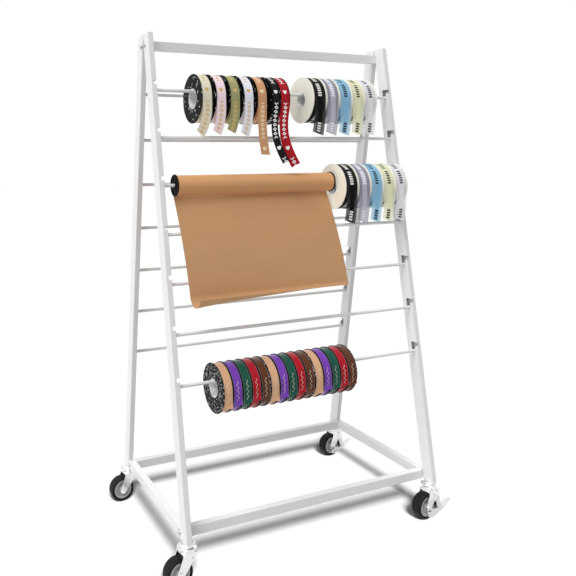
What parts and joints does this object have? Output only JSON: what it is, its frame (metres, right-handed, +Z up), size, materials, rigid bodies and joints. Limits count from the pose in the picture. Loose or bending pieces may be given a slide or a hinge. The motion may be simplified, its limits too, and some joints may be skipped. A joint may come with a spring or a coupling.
{
  "type": "rolling ribbon rack",
  "caption": "Free-standing A-frame rack on swivel casters, with removable rods in hook slots that carry ribbon spools and a hanging roll of kraft paper.",
  "frame": {"origin": "on the floor, under the middle of the whole box of the rack, casters and pedals included", "axes": "+Z up; the rods run along X, and the loaded side faces -Y"},
  "size_m": [0.9002, 0.5538, 1.415],
  "materials": {
    "white_powder_coat": "gloss white powder coat",
    "zinc_plate": "bright zinc plate",
    "wheel_hub_grey": "moulded grey plastic",
    "tyre_rubber": "matt black rubber",
    "kraft_paper": "brown kraft paper",
    "core_cap_black": "moulded black plastic",
    "ribbon_cream": "grosgrain ribbon",
    "ribbon_pink": "grosgrain ribbon",
    "ribbon_olive": "grosgrain ribbon",
    "ribbon_lavender": "grosgrain ribbon",
    "ribbon_tan": "grosgrain ribbon",
    "ribbon_black": "grosgrain ribbon",
    "ribbon_red": "grosgrain ribbon",
    "ribbon_sheer_mixed": "sheer ribbon on ivory card flanges",
    "ribbon_satin_mixed": "satin ribbon on black card flanges"
  },
  "bodies": {
    "frame": {"post_front_right": "white_powder_coat", "post_front_left": "white_powder_coat", "post_rear_left": "white_powder_coat", "post_rear_right": "white_powder_coat", "base_side_rail_right": "white_powder_coat", "base_side_rail_left": "white_powder_coat", "base_rail_front": "white_powder_coat", "base_rail_rear": "white_powder_coat", "top_rail": "white_powder_coat", "caster_stem_front_left": "zinc_plate", "caster_stem_front_right": "zinc_plate", "caster_stem_rear_left": "zinc_plate", "caster_stem_rear_right": "zinc_plate"},
    "rod_front_1": {"rod_front_1": "white_powder_coat"},
    "rod_front_2": {"rod_front_2": "white_powder_coat"},
    "rod_front_3": {"rod_front_3": "white_powder_coat", "paper_sheet": "kraft_paper"},
    "rod_front_4": {"rod_front_4": "white_powder_coat"},
    "rod_front_5": {"rod_front_5": "white_powder_coat"},
    "rod_front_6": {"rod_front_6": "white_powder_coat"},
    "rod_front_7": {"rod_front_7": "white_powder_coat"},
    "rod_rear_1": {"rod_rear_1": "white_powder_coat"},
    "rod_rear_2": {"rod_rear_2": "white_powder_coat"},
    "rod_rear_3": {"rod_rear_3": "white_powder_coat"},
    "rod_rear_4": {"rod_rear_4": "white_powder_coat"},
    "rod_rear_5": {"rod_rear_5": "white_powder_coat"},
    "rod_rear_6": {"rod_rear_6": "white_powder_coat"},
    "rod_rear_7": {"rod_rear_7": "white_powder_coat"},
    "spool_cream": {"ribbon_spool_cream": "ribbon_cream"},
    "spool_pink": {"ribbon_spool_pink": "ribbon_pink"},
    "spool_olive": {"ribbon_spool_olive": "ribbon_olive"},
    "spool_lavender": {"ribbon_spool_lavender": "ribbon_lavender"},
    "spool_tan": {"ribbon_spool_tan": "ribbon_tan"},
    "spool_black": {"ribbon_spool_black": "ribbon_black"},
    "spool_red": {"ribbon_spool_red": "ribbon_red"},
    "sheer_pack_top": {"sheer_ribbon_pack_top": "ribbon_sheer_mixed"},
    "sheer_pack_lower": {"sheer_ribbon_pack_lower": "ribbon_sheer_mixed"},
    "satin_pack_left": {"satin_ribbon_pack_left": "ribbon_satin_mixed"},
    "satin_pack_middle": {"satin_ribbon_pack_middle": "ribbon_satin_mixed"},
    "satin_pack_right": {"satin_ribbon_pack_right": "ribbon_satin_mixed"},
    "paper_roll": {"paper_roll": "kraft_paper", "paper_roll_core": "core_cap_black"},
    "caster_front_left": {"caster_fork_front_left": "zinc_plate", "caster_axle_front_left": "zinc_plate"},
    "wheel_front_left": {"caster_hub_front_left": "wheel_hub_grey", "caster_tyre_front_left": "tyre_rubber"},
    "caster_front_right": {"caster_fork_front_right": "zinc_plate", "caster_axle_front_right": "zinc_plate"},
    "wheel_front_right": {"caster_hub_front_right": "wheel_hub_grey", "caster_tyre_front_right": "tyre_rubber"},
    "brake_front_right": {"brake_pedal_front_right": "zinc_plate"},
    "caster_rear_left": {"caster_fork_rear_left": "zinc_plate", "caster_axle_rear_left": "zinc_plate"},
    "wheel_rear_left": {"caster_hub_rear_left": "wheel_hub_grey", "caster_tyre_rear_left": "tyre_rubber"},
    "caster_rear_right": {"caster_fork_rear_right": "zinc_plate", "caster_axle_rear_right": "zinc_plate"},
    "wheel_rear_right": {"caster_hub_rear_right": "wheel_hub_grey", "caster_tyre_rear_right": "tyre_rubber"},
    "brake_rear_right": {"brake_pedal_rear_right": "zinc_plate"}
  },
  "joints": [
    {"name": "rod_front_1_lift", "type": "slide", "parent": "frame", "child": "rod_front_1", "axis": [0, 0.1654, 0.9862], "range_m": [0, 0.02]},
    {"name": "rod_front_2_lift", "type": "slide", "parent": "frame", "child": "rod_front_2", "axis": [0, 0.1654, 0.9862], "range_m": [0, 0.02]},
    {"name": "rod_front_3_lift", "type": "slide", "parent": "frame", "child": "rod_front_3", "axis": [0, 0.1654, 0.9862], "range_m": [0, 0.02]},
    {"name": "rod_front_4_lift", "type": "slide", "parent": "frame", "child": "rod_front_4", "axis": [0, 0.1654, 0.9862], "range_m": [0, 0.02]},
    {"name": "rod_front_5_lift", "type": "slide", "parent": "frame", "child": "rod_front_5", "axis": [0, 0.1654, 0.9862], "range_m": [0, 0.02]},
    {"name": "rod_front_6_lift", "type": "slide", "parent": "frame", "child": "rod_front_6", "axis": [0, 0.1654, 0.9862], "range_m": [0, 0.02]},
    {"name": "rod_front_7_lift", "type": "slide", "parent": "frame", "child": "rod_front_7", "axis": [0, 0.1654, 0.9862], "range_m": [0, 0.02]},
    {"name": "rod_rear_1_lift", "type": "slide", "parent": "frame", "child": "rod_rear_1", "axis": [0, -0.1654, 0.9862], "range_m": [0, 0.02]},
    {"name": "rod_rear_2_lift", "type": "slide", "parent": "frame", "child": "rod_rear_2", "axis": [0, -0.1654, 0.9862], "range_m": [0, 0.02]},
    {"name": "rod_rear_3_lift", "type": "slide", "parent": "frame", "child": "rod_rear_3", "axis": [0, -0.1654, 0.9862], "range_m": [0, 0.02]},
    {"name": "rod_rear_4_lift", "type": "slide", "parent": "frame", "child": "rod_rear_4", "axis": [0, -0.1654, 0.9862], "range_m": [0, 0.02]},
    {"name": "rod_rear_5_lift", "type": "slide", "parent": "frame", "child": "rod_rear_5", "axis": [0, -0.1654, 0.9862], "range_m": [0, 0.02]},
    {"name": "rod_rear_6_lift", "type": "slide", "parent": "frame", "child": "rod_rear_6", "axis": [0, -0.1654, 0.9862], "range_m": [0, 0.02]},
    {"name": "rod_rear_7_lift", "type": "slide", "parent": "frame", "child": "rod_rear_7", "axis": [0, -0.1654, 0.9862], "range_m": [0, 0.02]},
    {"name": "spool_cream_spin", "type": "hinge", "parent": "rod_front_1", "child": "spool_cream", "pos_m": [0.00735, -0.04269, 1.23637], "axis": [1, 0, 0], "continuous": true},
    {"name": "spool_pink_spin", "type": "hinge", "parent": "rod_front_1", "child": "spool_pink", "pos_m": [0.00735, -0.04269, 1.23637], "axis": [1, 0, 0], "continuous": true},
    {"name": "spool_olive_spin", "type": "hinge", "parent": "rod_front_1", "child": "spool_olive", "pos_m": [0.00735, -0.04269, 1.23637], "axis": [1, 0, 0], "continuous": true},
    {"name": "spool_lavender_spin", "type": "hinge", "parent": "rod_front_1", "child": "spool_lavender", "pos_m": [0.00735, -0.04269, 1.23637], "axis": [1, 0, 0], "continuous": true},
    {"name": "spool_tan_spin", "type": "hinge", "parent": "rod_front_1", "child": "spool_tan", "pos_m": [0.00735, -0.04269, 1.23637], "axis": [1, 0, 0], "continuous": true},
    {"name": "spool_black_spin", "type": "hinge", "parent": "rod_front_1", "child": "spool_black", "pos_m": [0.00735, -0.04269, 1.23637], "axis": [1, 0, 0], "continuous": true},
    {"name": "spool_red_spin", "type": "hinge", "parent": "rod_front_1", "child": "spool_red", "pos_m": [0.00735, -0.04269, 1.23637], "axis": [1, 0, 0], "continuous": true},
    {"name": "sheer_pack_top_spin", "type": "hinge", "parent": "rod_front_1", "child": "sheer_pack_top", "pos_m": [0.00735, -0.04269, 1.24145], "axis": [1, 0, 0], "continuous": true},
    {"name": "sheer_pack_lower_spin", "type": "hinge", "parent": "rod_front_3", "child": "sheer_pack_lower", "pos_m": [0.00735, -0.08596, 0.98345], "axis": [1, 0, 0], "continuous": true},
    {"name": "satin_pack_left_spin", "type": "hinge", "parent": "rod_front_7", "child": "satin_pack_left", "pos_m": [0.00735, -0.1725, 0.46549], "axis": [1, 0, 0], "continuous": true},
    {"name": "satin_pack_middle_spin", "type": "hinge", "parent": "rod_front_7", "child": "satin_pack_middle", "pos_m": [0.00735, -0.1725, 0.46549], "axis": [1, 0, 0], "continuous": true},
    {"name": "satin_pack_right_spin", "type": "hinge", "parent": "rod_front_7", "child": "satin_pack_right", "pos_m": [0.00735, -0.1725, 0.46549], "axis": [1, 0, 0], "continuous": true},
    {"name": "paper_roll_spin", "type": "hinge", "parent": "rod_front_3", "child": "paper_roll", "pos_m": [0.00735, -0.08596, 0.999], "axis": [1, 0, 0], "continuous": true},
    {"name": "caster_front_left_swivel", "type": "hinge", "parent": "frame", "child": "caster_front_left", "pos_m": [-0.38515, -0.22894, 0.09], "axis": [0, 0, 1], "continuous": true},
    {"name": "wheel_front_left_roll", "type": "hinge", "parent": "caster_front_left", "child": "wheel_front_left", "pos_m": [-0.41201, -0.23177, 0.0375], "axis": [0.1045, -0.9945, 0], "continuous": true},
    {"name": "caster_front_right_swivel", "type": "hinge", "parent": "frame", "child": "caster_front_right", "pos_m": [0.39985, -0.22894, 0.09], "axis": [0, 0, 1], "continuous": true},
    {"name": "wheel_front_right_roll", "type": "hinge", "parent": "caster_front_right", "child": "wheel_front_right", "pos_m": [0.37311, -0.2327, 0.0375], "axis": [0.1392, -0.9903, 0], "continuous": true},
    {"name": "brake_front_right_release", "type": "hinge", "parent": "caster_front_right", "child": "brake_front_right", "pos_m": [0.4048, -0.22825, 0.074], "axis": [0.1392, -0.9903, 0], "range_deg": [0, 16]},
    {"name": "caster_rear_left_swivel", "type": "hinge", "parent": "frame", "child": "caster_rear_left", "pos_m": [-0.38515, 0.25106, 0.09], "axis": [0, 0, 1], "continuous": true},
    {"name": "wheel_rear_left_roll", "type": "hinge", "parent": "caster_rear_left", "child": "wheel_rear_left", "pos_m": [-0.41201, 0.24823, 0.0375], "axis": [0.1045, -0.9945, 0], "continuous": true},
    {"name": "caster_rear_right_swivel", "type": "hinge", "parent": "frame", "child": "caster_rear_right", "pos_m": [0.39985, 0.25106, 0.09], "axis": [0, 0, 1], "continuous": true},
    {"name": "wheel_rear_right_roll", "type": "hinge", "parent": "caster_rear_right", "child": "wheel_rear_right", "pos_m": [0.37311, 0.2473, 0.0375], "axis": [0.1392, -0.9903, 0], "continuous": true},
    {"name": "brake_rear_right_release", "type": "hinge", "parent": "caster_rear_right", "child": "brake_rear_right", "pos_m": [0.4048, 0.25175, 0.074], "axis": [0.1392, -0.9903, 0], "range_deg": [0, 16]}
  ]
}
